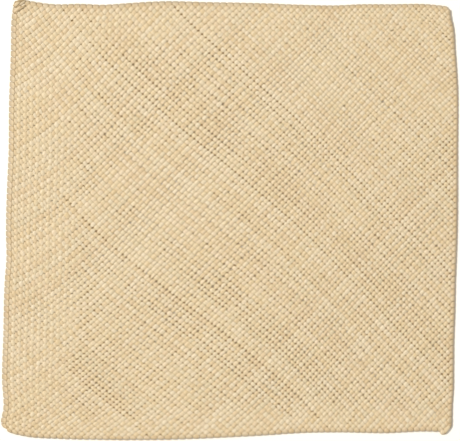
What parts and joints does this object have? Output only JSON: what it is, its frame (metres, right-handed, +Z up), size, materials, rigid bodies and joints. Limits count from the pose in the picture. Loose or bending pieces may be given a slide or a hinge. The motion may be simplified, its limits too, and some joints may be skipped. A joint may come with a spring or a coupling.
{
  "type": "pandanus mat",
  "caption": "Thin square mat plaited on the bias from flat dried leaf strips, with turned-back edges, rounded corners and gently bowed sides, lying flat.",
  "frame": {"origin": "on the surface the mat lies on, under the middle of its outline", "axes": "+X to the right and +Y away, along the mat's two sides; +Z up, out of its face"},
  "size_m": [0.4582, 0.4418, 0.0037],
  "materials": {
    "pandanus_strip": "dried pandanus leaf split into flat strips, pale straw with stray pinkish and greenish strips, matt with a faint lengthwise sheen"
  },
  "bodies": {
    "root": {"mat": "pandanus_strip"}
  },
  "joints": []
}
